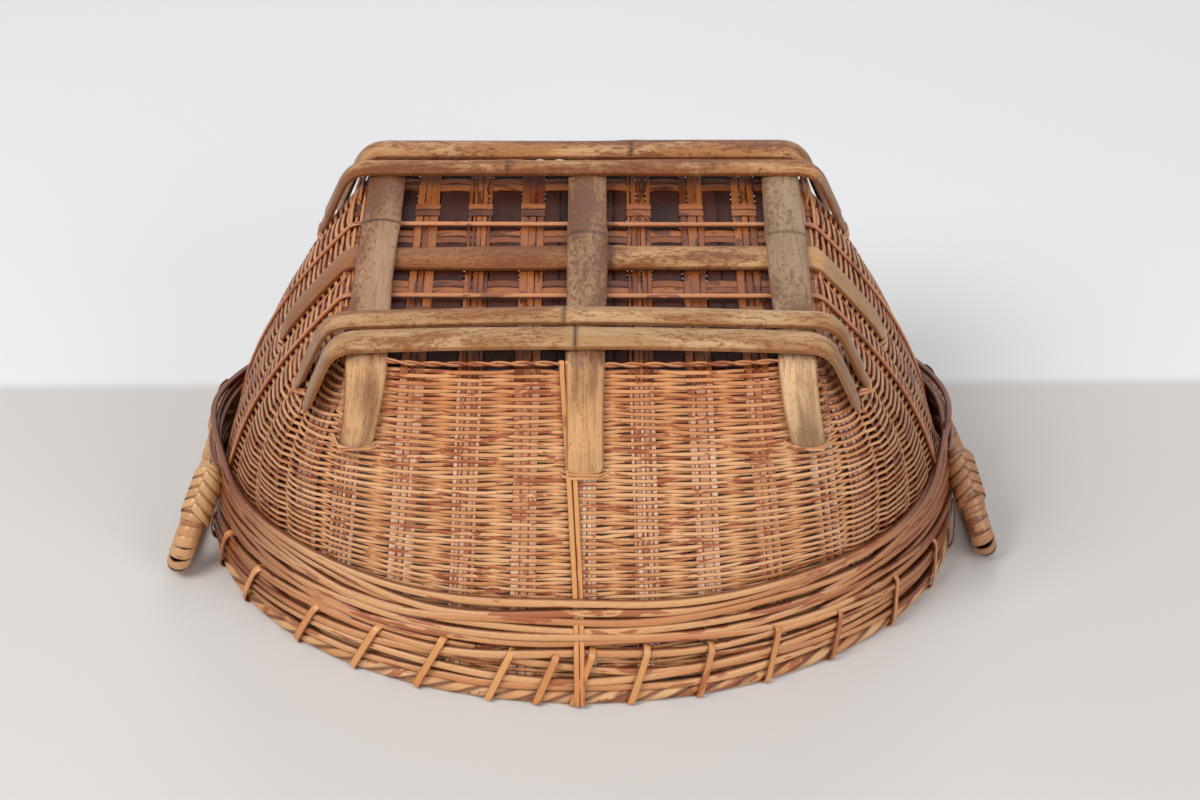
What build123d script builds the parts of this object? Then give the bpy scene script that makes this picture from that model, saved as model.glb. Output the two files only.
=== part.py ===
from build123d import *
import os
from math import atan2, ceil, cos, hypot, pi, sin

# An oval bamboo and rattan carrying basket, stood upside down on its mouth.
# X runs along its length, Y across it and Z up, from the mouth to the base.
# The origin is the middle of the mouth, on the surface that the basket stands on.

# ---- shared fits ----
clearance = 0.3              # between pieces that lie on each other

# ---- woven body: outer face of the wall ----
mouth_half_length = 258.0
mouth_half_width = 200.0
base_half_length = 160.0
base_half_width = 128.0
wall_top = 216.0             # level of the wall's turned edge, under the floor
mouth_squareness = 2.0       # 2 is a plain oval, more is squarer
base_squareness = 7.0
length_curve = 2.05          # 1 is a straight end wall, more bellies outwards
width_curve = 0.9            # the same for the front and back walls
squareness_curve = 2.6
wall_thickness = 3.4
outline_points = 60
wall_levels = 11

# ---- stakes inside the wall ----
stake_count = 36
stake_width = 17.0
stake_thickness = 1.2
stake_levels = 8

# ---- rim ----
rope_radius = 5.0
rope_wear = 0.6              # depth of the flat that it stands on
rope_set_out = 0.5           # of the rope's middle line from the wall's outer face
weaver_count = 9
weaver_height = 6.4
weaver_thickness = 5.4
inner_hoop_height = 15.0
inner_hoop_thickness = 4.0
lashing_count = 32
lashing_width = 6.0
lashing_thickness = 1.1
lashing_rise = 32.0
lashing_lean = 24.0          # degrees off the upright
lashing_seat = 0.7           # its middle's place, as a share of its thickness

# ---- floor mat ----
strip_thickness = 1.2
floor_stake_pitch = 36.5
floor_stake_width = 16.0
dark_strip_width = 20.0
long_strip_pitch = 33.0
long_strip_width = 17.0
long_strip_inset = 10.0      # of their ends, clear of the middle bar's bends
floor_inset = 2.5            # of the mat's edge from the wall's outer face

# ---- frame of split bamboo over the floor ----
bar_thickness = 5.5
bar_edge = 2.2               # thickness of a bar at its two edges
cross_bar_bend = 12.0        # radius of its inner face where it turns down
pair_bar_bend = 20.0
low_bar_bend = 10.0          # of the bar and splints that lie on the floor mat
pair_bar_spring = 3.0        # of its corner beyond the top of the end wall
pair_bar_touch = 191.0       # level where it meets the end wall
longest_run = 12.0           # of a straight stretch down the bellied wall
cross_bar_width = 25.5
cross_bar_inset = 22.5       # of the two outer cross bars from the base's ends
cross_bar_end = 168.0        # level where their turned-down ends stop
middle_cross_bar_place = 3.0
middle_cross_bar_end = 152.0
middle_bar_width = 25.0
middle_bar_end = 160.0
outer_bar_width = 22.0
inner_bar_width = 18.0
outer_bar_inset = 12.0       # of the bar's middle line from the base's edge
pair_pitch = 26.0            # from an outer bar to the inner bar beside it
pair_bar_end = 183.0
splint_width = 4.5
splint_thickness = 3.0
splint_edge = 1.2
splint_place = 44.0

# ---- rib up the front ----
rib_width = 7.0
rib_thickness = 1.3
rib_top_place = -19.5        # along X, beside the middle cross bar's end
rib_foot_place = 0.0

# ---- handles ----
handle_core_radius = 5.4
handle_wrap_radius = 8.2
handle_root_half_span = 49.0
handle_root_level = 64.0
grip_front_corner = 87.0     # of the grip, in front of the middle of the two roots
grip_back_corner = 43.0
grip_front_overhang = 27.3   # of the grip's middle line beyond the mouth's ends
grip_back_overhang = 15.0
handle_bend = 20.0
binding_radius = 10.8
binding_length = 28.0
binding_stand_off = 1.05     # along X, for one square to the leaning wall
left_handle_shift = 5.0      # of the middle of the two roots along Y
right_handle_shift = 23.0


# ---- levels worked out from the sizes ----
rope_level = rope_radius - rope_wear
rim_foot = rope_level + rope_radius + clearance
weaver_pitch = weaver_height + clearance
rim_top = rim_foot + weaver_count * weaver_pitch
cross_strip_level = wall_top + clearance
long_strip_level = cross_strip_level + strip_thickness + clearance
floor_top = long_strip_level + strip_thickness
middle_bar_level = floor_top + clearance
cross_bar_level = middle_bar_level + bar_thickness + clearance
pair_bar_level = cross_bar_level + bar_thickness + clearance

# ---- places worked out from the sizes ----
cross_bar_place = base_half_length - cross_bar_inset
outer_bar_place = base_half_width - outer_bar_inset
inner_bar_place = outer_bar_place - pair_pitch
grip_front_reach = mouth_half_length + grip_front_overhang
grip_back_reach = mouth_half_length + grip_back_overhang

# ---- reaches outwards from the wall's outer face ----
rim_lean = (mouth_half_width - base_half_width) * (rim_top / wall_top) ** width_curve / rim_top
weaver_stand_off = clearance + rim_lean * weaver_height / 2
weaver_reach = weaver_stand_off + weaver_thickness
lashing_inner = weaver_reach + clearance
lashing_outer = lashing_inner + lashing_thickness
inner_face = -wall_thickness


def blend(mouth, base, level, curve):
    """A size at a level, from its value at the mouth to its value at the wall's top."""
    share = max(level, 0.0) / wall_top
    return mouth + (base - mouth) * share ** curve


def section(level, offset=0.0):
    """Half length, half width and squareness of the outline at a level."""
    return (blend(mouth_half_length, base_half_length, level, length_curve) + offset,
            blend(mouth_half_width, base_half_width, level, width_curve) + offset,
            blend(mouth_squareness, base_squareness, level, squareness_curve))


def outline_point(angle, level, offset=0.0):
    """The point of the outline in a direction, in radians from +X."""
    half_length, half_width, power = section(level, offset)
    reach = ((abs(cos(angle)) / half_length) ** power
             + (abs(sin(angle)) / half_width) ** power) ** (-1 / power)
    return Vector(reach * cos(angle), reach * sin(angle), level)


def outline_wire(level, offset=0.0):
    """The closed outline at a level."""
    turn = 2 * pi / outline_points
    points = [outline_point(turn * i, level, offset) for i in range(outline_points)]
    return Wire([Edge.make_spline(points, periodic=True)])


def even_levels(low, high, count):
    return [low + (high - low) * i / (count - 1) for i in range(count)]


def outline_solid(low, high, offset, levels=wall_levels):
    """The body's outer shape, moved outwards by offset, between two levels."""
    return Solid.make_loft([outline_wire(z, offset) for z in even_levels(low, high, levels)])


def wall_reach_x(y, level, offset=0.0):
    """How far the wall stands out along X, at a distance y from the long axis."""
    half_length, half_width, power = section(level, offset)
    return half_length * (1 - (abs(y) / half_width) ** power) ** (1 / power)


def wall_reach_y(x, level, offset=0.0):
    """How far the wall stands out along Y, at a distance x from the short axis."""
    half_length, half_width, power = section(level, offset)
    return half_width * (1 - (abs(x) / half_length) ** power) ** (1 / power)


# ---- woven body ----
def woven_wall():
    outer = outline_solid(rim_foot, wall_top, 0.0)
    return outer - outline_solid(rim_foot, wall_top, inner_face)


def ribbon(width, thickness, stations):
    """A flat strip up the wall.

    Each station is a direction, a level and the offset of the strip's inner face.
    """
    wires = []
    for angle, level, offset in stations:
        middle = outline_point(angle, level, offset)
        half_turn = width / 2 / hypot(middle.X, middle.Y)
        inner = [outline_point(angle + turn, level, offset) for turn in (-half_turn, half_turn)]
        outer = [outline_point(angle + turn, level, offset + thickness)
                 for turn in (half_turn, -half_turn)]
        wires.append(Wire.make_polygon(inner + outer))
    return Solid.make_loft(wires, ruled=True)


def wall_stakes():
    foot = rim_foot + clearance + inner_hoop_height + clearance
    face = inner_face - 1.5 * clearance - stake_thickness
    levels = even_levels(foot, wall_top, stake_levels)
    turn = 2 * pi / stake_count
    return [ribbon(stake_width, stake_thickness, [(turn * i, level, face) for level in levels])
            for i in range(stake_count)]


# ---- rim ----
def hoop(level, offset, half_thickness, half_height):
    """A closed cane hoop round the body."""
    path = outline_wire(level, offset)
    start = Plane(origin=path @ 0, x_dir=(1, 0, 0), z_dir=path % 0)
    return sweep(start * Ellipse(half_thickness, half_height), path=path)


def rim_rope():
    worn = Pos(0, 0, -rope_radius) * Box(3 * mouth_half_length, 3 * mouth_half_width,
                                         2 * rope_radius)
    return hoop(rope_level, rope_set_out, rope_radius, rope_radius) - worn


def rim_weaver(number):
    level = rim_foot + clearance / 2 + weaver_pitch * number + weaver_height / 2
    offset = weaver_stand_off + weaver_thickness / 2
    return hoop(level, offset, weaver_thickness / 2, weaver_height / 2)


def inner_hoop():
    foot = rim_foot + clearance
    top = foot + inner_hoop_height
    face = inner_face - 2 * clearance
    outer = outline_solid(foot, top, face, 2)
    return outer - outline_solid(foot, top, face - inner_hoop_thickness, 2)


def rim_lashing(angle):
    """One slanting strip of cane over the lower rim."""
    reach = lashing_inner + lashing_seat * lashing_thickness
    low = outline_point(angle, clearance + lashing_width / 2, reach)
    high = outline_point(angle, clearance + lashing_width / 2 + lashing_rise, reach)
    along = outline_point(angle + 0.01, low.Z, reach) - outline_point(angle - 0.01, low.Z, reach)
    up = (high - low).normalized()
    face = Plane(origin=(low + high) / 2, x_dir=along, z_dir=along.cross(up))
    strip = Box(lashing_width, (high - low).length, lashing_thickness)
    return face * Rot(0, 0, -lashing_lean) * strip


def rim_lashings():
    turn = 2 * pi / lashing_count
    return [rim_lashing(turn * (i + 0.5)) for i in range(lashing_count)]


# ---- floor mat ----
def strips(count, pitch, width, length, level, across):
    """A row of flat strips, side by side, about the middle."""
    made = []
    for i in range(count):
        place = (i - (count - 1) / 2) * pitch
        x, y = (place, 0) if across else (0, place)
        size_x, size_y = (width, length) if across else (length, width)
        made.append(Pos(x, y, level + strip_thickness / 2) * Box(size_x, size_y, strip_thickness))
    return made


def trimmed(row):
    """A row of strips cut to the outline of the floor."""
    edge = outline_wire(wall_top, -floor_inset)
    prism = extrude(Face(edge), 2 * (floor_top - wall_top), dir=(0, 0, 1))
    return [piece for strip in row for piece in (strip & prism).solids()]


def floor_stakes():
    count = 2 * int(base_half_length / floor_stake_pitch) + 1
    length = 2 * base_half_width
    return trimmed(strips(count, floor_stake_pitch, floor_stake_width, length,
                          cross_strip_level, True))


def floor_dark_strips():
    count = 2 * int(base_half_length / floor_stake_pitch + 0.5)
    length = 2 * base_half_width
    return trimmed(strips(count, floor_stake_pitch, dark_strip_width, length,
                          cross_strip_level, True))


def floor_long_strips():
    count = 2 * int(base_half_width / long_strip_pitch) + 1
    length = 2 * (base_half_length - long_strip_inset)
    return trimmed(strips(count, long_strip_pitch, long_strip_width, length,
                          long_strip_level, False))


# ---- bamboo frame ----
def split_cane(width, edge, thickness):
    """Section of a split cane: flat inside, crowned outside."""
    half = width / 2
    flat = Polyline((-half, edge), (-half, 0), (half, 0), (half, edge))
    crown = ThreePointArc((half, edge), (0, thickness), (-half, edge))
    return make_face(flat + crown)


def wall_line(nearest, end, top, reach):
    """Points close above the wall, from a bar's end up to a level."""
    count = ceil((top - end) / longest_run) + 1
    return [(reach(nearest, z) + clearance, z) for z in even_levels(end, top, count)]


def hugging_profile(nearest, level, end, reach):
    """Half of a bar's side view, where it follows the wall down from its corner."""
    drop = wall_line(nearest, end, wall_top, reach)
    low, high = drop[-2], drop[-1]
    slope = (high[0] - low[0]) / (high[1] - low[1])
    corner = (high[0] + slope * (level - high[1]), level)
    return drop[:-1] + [corner]


def sprung_profile(nearest, level, end, reach):
    """Half of a bar's side view, where it stands off the shoulder of the wall."""
    corner = (reach(nearest, wall_top) + pair_bar_spring, level)
    return wall_line(nearest, end, pair_bar_touch, reach) + [corner]


def turned_bar(place, right, width, thickness, edge, bend, along_x):
    """A bar over the floor, with both ends turned down the wall.

    place is its distance from the axis beside it, and right is half of its side view.
    """
    profile = right + [(-x, z) for x, z in reversed(right)]
    if along_x:
        points = [Vector(x, place, z) for x, z in profile]
        across = Vector(0, -1, 0)
    else:
        points = [Vector(place, y, z) for y, z in profile]
        across = Vector(1, 0, 0)
    path = FilletPolyline(*points, radius=bend)
    start = Plane(origin=points[0], x_dir=across, z_dir=points[1] - points[0])
    return sweep(start * split_cane(width, edge, thickness), path=path)


def near_edge(place, width):
    """How near to the axis a bar's inner edge comes."""
    return max(abs(place) - width / 2, 0.0)


def pair_bar(place, width):
    right = sprung_profile(near_edge(place, width), pair_bar_level, pair_bar_end, wall_reach_x)
    return turned_bar(place, right, width, bar_thickness, bar_edge, pair_bar_bend, True)


def middle_bar():
    right = hugging_profile(0.0, middle_bar_level, middle_bar_end, wall_reach_x)
    return turned_bar(0.0, right, middle_bar_width, bar_thickness, bar_edge, low_bar_bend, True)


def cross_bar(place, end):
    nearest = near_edge(place, cross_bar_width)
    right = hugging_profile(nearest, cross_bar_level, end, wall_reach_y)
    return turned_bar(place, right, cross_bar_width, bar_thickness, bar_edge,
                      cross_bar_bend, False)


def floor_splint(place):
    nearest = near_edge(place, splint_width)
    end = rim_top + splint_width
    right = hugging_profile(nearest, middle_bar_level, end, wall_reach_x)
    return turned_bar(place, right, splint_width, splint_thickness, splint_edge,
                      low_bar_bend, True)


# ---- rib ----
def front_rib():
    """A flat cane from the base frame down the front wall and over the rim."""
    lying = [(level, clearance) for level in even_levels(wall_top, rim_top + rib_width, 5)]
    over = [(level, lashing_inner) for level in even_levels(rim_top, rope_level, 4)]
    stations = []
    for level, offset in reversed(lying + over):
        place = rib_foot_place + (rib_top_place - rib_foot_place) * level / wall_top
        angle = atan2(-wall_reach_y(place, level, offset), place)
        stations.append((angle, level, offset))
    return ribbon(rib_width, rib_thickness, stations)


# ---- handles ----
def handle_points(side, shift):
    """Root, two grip corners and root of a handle's middle line."""
    ends = []
    for half_span in (-handle_root_half_span, handle_root_half_span):
        y = shift + half_span
        stand_out = wall_reach_x(y, handle_root_level, weaver_reach)
        x = stand_out + binding_stand_off * (binding_radius + clearance)
        ends.append(Vector(side * x, y, handle_root_level))
    front = Vector(side * grip_front_reach, shift - grip_front_corner, handle_wrap_radius)
    back = Vector(side * grip_back_reach, shift + grip_back_corner, handle_wrap_radius)
    return [ends[0], front, back, ends[1]]


def handle_sleeve(side, shift, outer, inner):
    """A round bar or sleeve along the handle's middle line."""
    points = handle_points(side, shift)
    path = FilletPolyline(*points, radius=handle_bend)
    start = Plane(origin=points[0], z_dir=points[1] - points[0])
    ring = Circle(outer) - Circle(inner) if inner else Circle(outer)
    return sweep(start * ring, path=path)


def root_binding(side, shift, end):
    """The bound collar round the top of one leg."""
    points = handle_points(side, shift)
    root, corner = (points[0], points[1]) if end < 0 else (points[3], points[2])
    start = Plane(origin=root, z_dir=corner - root)
    ring = Circle(binding_radius) - Circle(handle_wrap_radius + clearance)
    return extrude(start * ring, binding_length)


def handles():
    made = {}
    for name, side, shift in (("left", -1, left_handle_shift), ("right", 1, right_handle_shift)):
        wrap_bore = handle_core_radius + clearance
        made[f"handle_{name}_core"] = handle_sleeve(side, shift, handle_core_radius, 0)
        made[f"handle_{name}_wrap"] = handle_sleeve(side, shift, handle_wrap_radius, wrap_bore)
        made[f"handle_{name}_binding_front"] = root_binding(side, shift, -1)
        made[f"handle_{name}_binding_back"] = root_binding(side, shift, 1)
    return made


def build():
    nodes = {
        "woven_wall": woven_wall(),
        "wall_stakes": wall_stakes(),
        "rim_rope": rim_rope(),
        "rim_inner_hoop": inner_hoop(),
        "rim_lashings": rim_lashings(),
        "floor_stakes": floor_stakes(),
        "floor_dark_strips": floor_dark_strips(),
        "floor_long_strips": floor_long_strips(),
        "cross_bar_left": cross_bar(-cross_bar_place, cross_bar_end),
        "cross_bar_middle": cross_bar(middle_cross_bar_place, middle_cross_bar_end),
        "cross_bar_right": cross_bar(cross_bar_place, cross_bar_end),
        "long_bar_front_outer": pair_bar(-outer_bar_place, outer_bar_width),
        "long_bar_front_inner": pair_bar(-inner_bar_place, inner_bar_width),
        "long_bar_middle": middle_bar(),
        "long_bar_back_inner": pair_bar(inner_bar_place, inner_bar_width),
        "long_bar_back_outer": pair_bar(outer_bar_place, outer_bar_width),
        "floor_splint_front": floor_splint(-splint_place),
        "floor_splint_back": floor_splint(splint_place),
        "front_rib": front_rib(),
    }
    for number in range(weaver_count):
        nodes[f"rim_weaver_{number + 1}"] = rim_weaver(number)
    nodes.update(handles())
    return nodes


os.makedirs("parts", exist_ok=True)
for name, shape in build().items():
    pieces = shape if isinstance(shape, list) else shape.solids()
    body = pieces[0] if len(pieces) == 1 else Compound(children=list(pieces))
    export_step(body, f"parts/{name}.step")
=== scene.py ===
import bpy
import numpy as np
from math import cos, hypot, pi, radians, sin
from numpy.random import default_rng
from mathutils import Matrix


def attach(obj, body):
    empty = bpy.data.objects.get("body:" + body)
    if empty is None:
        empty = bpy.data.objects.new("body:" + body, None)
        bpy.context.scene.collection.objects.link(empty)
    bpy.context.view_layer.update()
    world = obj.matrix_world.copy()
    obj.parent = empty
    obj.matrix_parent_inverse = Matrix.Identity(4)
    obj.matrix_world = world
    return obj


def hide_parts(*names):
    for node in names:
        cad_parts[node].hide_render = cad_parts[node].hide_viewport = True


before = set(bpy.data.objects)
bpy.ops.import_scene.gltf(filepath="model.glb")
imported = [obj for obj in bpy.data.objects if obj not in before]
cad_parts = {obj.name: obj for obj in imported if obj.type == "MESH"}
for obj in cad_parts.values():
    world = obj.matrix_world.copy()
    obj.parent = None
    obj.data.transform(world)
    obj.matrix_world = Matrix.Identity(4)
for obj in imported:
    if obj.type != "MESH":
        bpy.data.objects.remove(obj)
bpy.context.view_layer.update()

# An oval bamboo and rattan basket, upside down on a pale table.
# Every size below is in millimetres; meshes are made in metres.
MM = 0.001

# ---- outer face of the woven wall, as in the construction ----
MOUTH = (258.0, 200.0, 2.0)  # half length, half width, squareness
BASE = (160.0, 128.0, 7.0)
CURVES = (2.05, 0.9, 2.6)  # how each goes from the mouth to the base
WALL_TOP = 216.0
WALL_MIDDLE = -2.0  # of the stakes' plane from the outer face

# ---- stakes ----
FRONT_STAKES = 4  # on each side of the middle one
END_STAKES = 3
STAKE_PITCH_TOP = 36.5
STAKE_PITCH_MOUTH = 43.0
STAKE_SHIFT = 2.0
END_PITCH_TOP = 32.75
END_PITCH_MOUTH = 36.0
STAKE_WIDTH = 17.0
STAKE_THICKNESS = 0.8
STAKE_FOOT = 14.0
STAKE_TURN = 7.0  # radius where a stake turns over the edge

# ---- weft ----
WEFT_FOOT = 12.0
WEFT_PITCH = 2.43
WEFT_PARTS = (("weft_lower", 0, 29), ("weft_middle", 29, 57), ("weft_upper", 57, 85))
WEFT_STEPS = 7  # stations from one stake to the next
TIGHT_WAVE = 0.78  # of a row in front of and behind the flat stakes
LOOSE_WAVE = 2.1  # the same at the rounded ends
SHOULDER_ROWS = (149.6, 152.8, 156.0, 159.0)
SHOULDER_REACH = 112.0

# ---- floor mat ----
FLOOR_LEVEL = 217.7
BAND_PLACES = (98.0, 65.0, 31.0, -3.0, -31.0, -62.0, -95.0)
BAND_WIDTH = 16.0
DARK_WIDTH = 20.0
RIPPLE = 0.55  # of a strip above and below the mat's middle

# ---- rim ----
RIM_LEVELS = (12.8, 18.8, 25.0, 31.2, 37.2, 43.2, 49.2, 55.0, 60.6, 66.0)
END_CANES = 9  # shorter canes round each end
END_CANE_FOOT, END_CANE_RISE = 24.0, 62.0
ROPE_STRANDS, ROPE_TURNS, ROPE_LEVEL = 3, 21, 4.4
LASHING_TOP, LASHING_FOOT = 37.0, 0.9
LASHING_PLACES = (-244, -222, -181, -141, -99, -53, -23, 0, 36, 79, 122, 165, 206, 236)
BACK_LASHINGS = 14

# ---- frame of split bamboo ----
BAR_THICKNESS = 5.5
BAR_EDGE = 2.2
LOW = (219.3, 10.0, True)  # a bar's level, its bend and whether it runs along X
CROSS = (225.1, 12.0, False)
PAIR = (230.9, 20.0, True)
PAIR_SPRING = 3.0  # of a pair bar's corner beyond the end wall's top
PAIR_TOUCH = 191.0  # level where a pair bar meets the end wall
LONGEST_RUN = 12.0  # of a straight stretch down the bellied wall
SPLINT_FOOT = 75.0
TWINE_LEVEL = 222.6

# ---- handles ----
GRIP_RADIUS = 8.2
GRIP_CORNERS = ((285.3, -87.0), (273.0, 43.0))  # reach, and place from the roots' middle
GRIP_BEND = 20.0
ROOT_HALF_SPAN = 49.0
ROOT_LEVEL = 64.0
BINDING_RADIUS = 10.8
BINDING_LENGTH = 28.0
HANDLE_STEP = 0.6
FRONT_ROOT_TUCK, BACK_ROOT_TUCK = 3.0, 6.0  # of the legs' tops, under the rim's canes
HANDLE_SHIFT = {"left": 5.0, "right": 23.0}  # of the roots' middle along Y

# ---- lamps, in metres ----
LAMP_AIM = 0.1  # above the table

# ---- sections: (outwards, across), in halves of thickness and width ----
REED = ((-1.0, -0.8), (-1.0, 0.8), (0.2, 1.0), (0.95, 0.66), (0.95, -0.66), (0.2, -1.0))
STRIP = ((-1, -0.96), (-1, 0.96), (0.1, 1.0), (0.8, 0.84), (1.0, 0.3), (1.0, -0.3),
         (0.8, -0.84), (0.1, -1.0))
OVAL = tuple((cos(i * pi / 5), sin(i * pi / 5)) for i in range(10, 0, -1))
CANE = ((-1.0, -0.75), (-1.0, 0.75), (-0.4, 0.97), (0.3, 0.97), (0.85, 0.7), (1.0, 0.3),
        (1.0, -0.3), (0.85, -0.7), (0.3, -0.97), (-0.4, -0.97))


# ---- shape helpers ----
def unit(vectors):
    return vectors / np.maximum(np.linalg.norm(vectors, axis=-1, keepdims=True), 1e-9)


def soft(share):
    """A share from 0 to 1, with a gentle start and end."""
    return share * share * (3 - 2 * share)


def lined(x, y, z):
    """Points from their coordinates, each one value or one per point."""
    return np.stack(np.broadcast_arrays(x, y, z), axis=-1)


def swapped(*lines):
    """The same lines with X and Y exchanged."""
    return (line[:, (1, 0, 2)] for line in lines)


def waves(seed, angle, cycles, size):
    """Smooth closed noise round the basket: a few sines of random phase and height."""
    source = default_rng(seed)
    total = np.zeros_like(angle)
    for count in cycles:
        total = total + source.normal() * np.sin(count * angle + source.uniform(0, 2 * pi))
    return size * total / np.sqrt(len(cycles))


def wander(seed, length, step, size):
    """Smooth noise along an open length, one value per station."""
    place = np.asarray(length) / step
    knots = default_rng(seed).normal(size=int(place.max()) + 3)
    low = place.astype(int)
    share = soft(place - low)
    return size * (knots[low] * (1 - share) + knots[low + 1] * share)


def grain(source, longest):
    """A strand's random tone, and where along its fibres it starts."""
    return dict(tone=source.uniform(), start=source.uniform(0, longest))


def blend(index, level):
    """One of the outline's three measures at a level."""
    share = np.maximum(level, 0.0) / WALL_TOP
    return MOUTH[index] + (BASE[index] - MOUTH[index]) * share ** CURVES[index]


def wall_point(angle, level, offset):
    """Points on the wall, moved outwards by offset."""
    half_length, half_width = blend(0, level) + offset, blend(1, level) + offset
    power = blend(2, level)
    reach = ((np.abs(np.cos(angle)) / half_length) ** power
             + (np.abs(np.sin(angle)) / half_width) ** power) ** (-1 / power)
    return lined(reach * np.cos(angle), reach * np.sin(angle), level)


def wall_frame(angle, level, offset):
    """Points on the wall, with the directions along it, out of it and up it."""
    angle, level, offset = (each.astype(float)
                            for each in np.broadcast_arrays(angle, level, offset))
    nearly = 1e-3
    along = unit(wall_point(angle + nearly, level, offset)
                 - wall_point(angle - nearly, level, offset))
    high = np.minimum(level + nearly, WALL_TOP)
    up = unit(wall_point(angle, high, offset) - wall_point(angle, high - nearly, offset))
    out = unit(np.cross(along, up))
    return wall_point(angle, level, offset), along, out, np.cross(out, along)


def reach_across(place, level, along_x, offset=0.0):
    """How far the wall stands out, at a distance from the other axis."""
    near, far = (0, 1) if along_x else (1, 0)
    power = blend(2, level)
    side = np.minimum(np.abs(place) / (blend(far, level) + offset), 0.999)
    return (blend(near, level) + offset) * (1 - side ** power) ** (1 / power)


def lengths_along(path):
    return np.concatenate([[0], np.cumsum(np.linalg.norm(np.diff(path, axis=0), axis=1))])


def at_lengths(wanted, lengths, values):
    """Rows of values read at other lengths."""
    return np.stack([np.interp(wanted, lengths, column) for column in values.T], axis=1)


def resampled(trail, spacing):
    """The same line with its points at an even spacing."""
    steps = np.linalg.norm(np.diff(trail, axis=0), axis=1)
    trail = trail[np.concatenate([[True], steps > 1e-6])]
    lengths = lengths_along(trail)
    count = max(int(lengths[-1] / spacing), 2) + 1
    return at_lengths(np.linspace(0, lengths[-1], count), lengths, trail)


def rounded(points, radius, spacing):
    """A line through points with its corners rounded."""
    points = np.asarray(points, float)
    trail = [points[0]]
    for before, corner, after in zip(points, points[1:], points[2:]):
        room = 0.48 * min(np.linalg.norm(before - corner), np.linalg.norm(after - corner))
        back, ahead = unit(before - corner), unit(after - corner)
        half = np.arccos(np.clip(back @ ahead, -1, 1)) / 2
        reach = min(radius / np.tan(half), room)
        share = np.linspace(0, 1, 11)[:, None]
        trail.extend((1 - share) ** 2 * (corner + back * reach)
                     + 2 * share * (1 - share) * corner
                     + share ** 2 * (corner + ahead * reach))
    trail.append(points[-1])
    return resampled(np.array(trail), spacing)


def directions(path):
    return unit(np.gradient(path, axis=0))


def eased(place, knots, values):
    """Values between knots, with a soft turn at each knot."""
    knots, values = np.asarray(knots, float), np.asarray(values, float)
    index = np.clip(np.searchsorted(knots, place) - 1, 0, len(knots) - 2)
    share = np.clip((place - knots[index]) / (knots[index + 1] - knots[index]), 0, 1)
    share = soft(share)
    return values[index] * (1 - share) + values[index + 1] * share


# ---- meshes ----
def padded(values):
    """The same with each end's value twice more."""
    return np.concatenate([values[:1], values[:1], values, values[-1:], values[-1:]])


def pinched(path, out, across, thick, wide):
    """Two more points past each end, where the strand closes."""
    head = unit(path[0] - path[1]) * thick[0] * 0.6
    tail = unit(path[-1] - path[-2]) * thick[-1] * 0.6
    path = np.vstack([path[0] + head, path[0] + head * 0.8, path,
                      path[-1] + tail * 0.8, path[-1] + tail])
    scale = np.concatenate([[0.05, 0.7], np.ones(len(thick)), [0.7, 0.05]])
    return path, padded(out), padded(across), padded(thick) * scale, padded(wide) * scale


def kept(mesh, name, values):
    """Keeps a value or a vector at each of a mesh's points, for the materials."""
    kind, key = ("FLOAT_VECTOR", "vector") if values.ndim == 2 else ("FLOAT", "value")
    mesh.attributes.new(name, kind, "POINT").data.foreach_set(
        key, values.astype(np.float32).ravel())


def linked(name, data):
    """A new object in the scene."""
    thing = bpy.data.objects.new(name, data)
    bpy.context.scene.collection.objects.link(thing)
    return thing


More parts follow.
